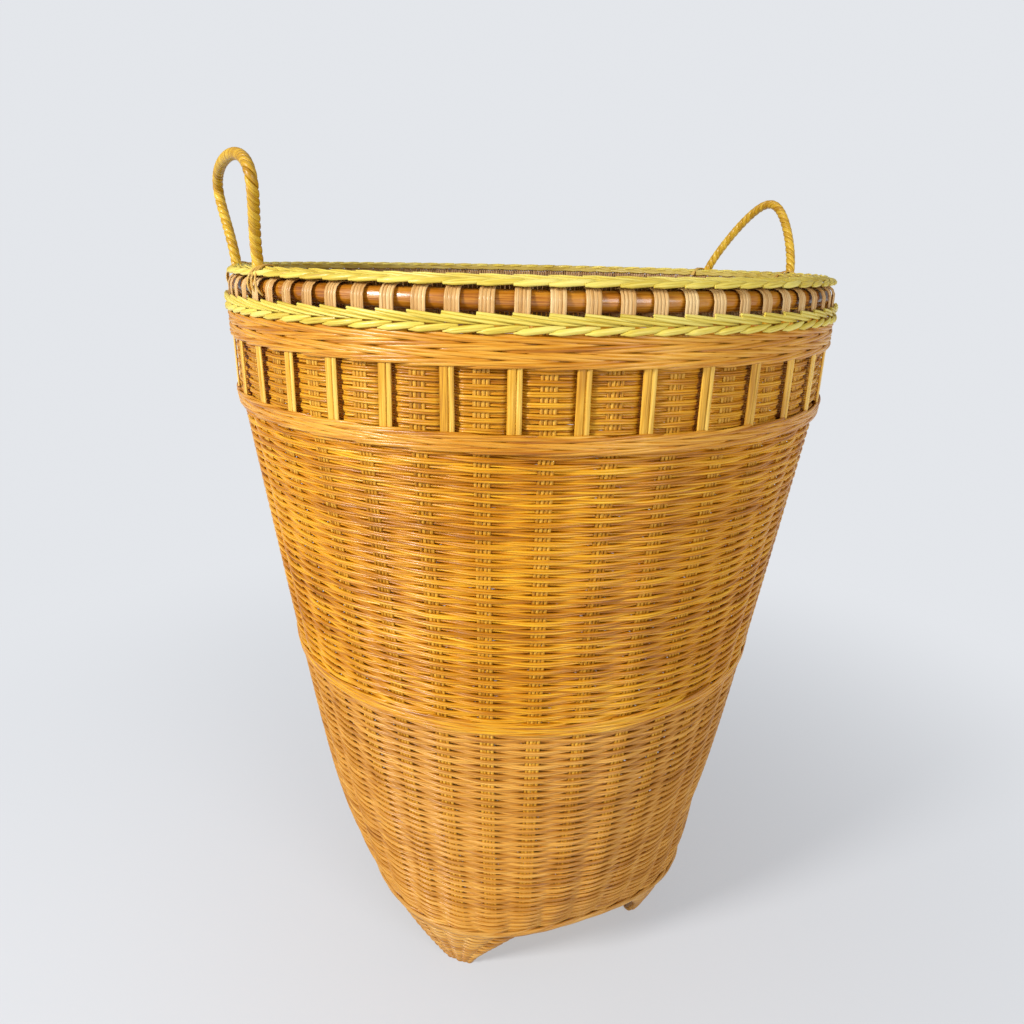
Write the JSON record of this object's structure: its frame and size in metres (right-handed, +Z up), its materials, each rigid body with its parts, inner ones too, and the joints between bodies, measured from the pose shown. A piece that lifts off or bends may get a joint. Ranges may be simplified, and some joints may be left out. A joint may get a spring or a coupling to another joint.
{
  "type": "woven laundry hamper",
  "caption": "Tall open woven cane laundry hamper: round rim tapering to a square base on corner feet, slatted band, plaited rim over a hoop, two loop handles.",
  "frame": {"origin": "on the floor, on the basket's upright axis, which is the middle of its bounding box", "axes": "+Z up; the square base's sides face +X, -X, +Y and -Y; the handles stand near +X and -X"},
  "size_m": [0.4072, 0.4002, 0.5721],
  "materials": {
    "honey_weave": "varnished split cane weave, honey brown",
    "pale_weave": "split cane weave, paler and less varnished",
    "dark_wale": "varnished twined cane, orange brown",
    "slat_cane": "flat split cane, satin varnish",
    "yellow_plait": "peeled pale yellow cane, satin",
    "rattan_hoop": "glossy lacquered round rattan",
    "wrap_strip": "flat tan cane strip, satin",
    "handle_cane": "golden wound cane, satin varnish"
  },
  "bodies": {
    "basket": {"base_panel": "pale_weave", "base_wale": "dark_wale", "foot_left_back": "pale_weave", "foot_left_front": "pale_weave", "foot_right_back": "pale_weave", "foot_right_front": "pale_weave", "lashing_left_a": "wrap_strip", "lashing_left_b": "wrap_strip", "lashing_right_a": "wrap_strip", "lashing_right_b": "wrap_strip", "lower_band_wale": "dark_wale", "lower_plait": "yellow_plait", "lower_wall": "pale_weave", "mid_wale": "honey_weave", "rim_hoop": "rattan_hoop", "rim_wraps": "wrap_strip", "slat_01": "slat_cane", "slat_02": "slat_cane", "slat_03": "slat_cane", "slat_04": "slat_cane", "slat_05": "slat_cane", "slat_06": "slat_cane", "slat_07": "slat_cane", "slat_08": "slat_cane", "slat_09": "slat_cane", "slat_10": "slat_cane", "slat_11": "slat_cane", "slat_12": "slat_cane", "slat_13": "slat_cane", "slat_14": "slat_cane", "slat_15": "slat_cane", "slat_16": "slat_cane", "slat_17": "slat_cane", "slat_18": "slat_cane", "slat_19": "slat_cane", "slat_20": "slat_cane", "slat_21": "slat_cane", "slat_22": "slat_cane", "slat_23": "slat_cane", "slat_24": "slat_cane", "slat_25": "slat_cane", "slat_26": "slat_cane", "slat_27": "slat_cane", "slat_28": "slat_cane", "slat_29": "slat_cane", "slat_30": "slat_cane", "slat_31": "slat_cane", "slat_32": "slat_cane", "slat_33": "slat_cane", "slat_34": "slat_cane", "slat_35": "slat_cane", "slat_36": "slat_cane", "slat_37": "slat_cane", "slat_38": "slat_cane", "top_border": "yellow_plait", "upper_band_wale": "dark_wale", "upper_wall": "honey_weave"},
    "right_handle": {"handle_right": "handle_cane"},
    "left_handle": {"handle_left": "handle_cane"}
  },
  "joints": [
    {"name": "right_handle_swing", "type": "hinge", "parent": "basket", "child": "right_handle", "pos_m": [0.18782, 0.0082, 0.51], "axis": [-0.0436, 0.999, 0], "range_deg": [-29.5, 22.5]},
    {"name": "left_handle_swing", "type": "hinge", "parent": "basket", "child": "left_handle", "pos_m": [-0.18723, -0.01704, 0.51], "axis": [0.0906, -0.9959, 0], "range_deg": [-17, 35]}
  ]
}
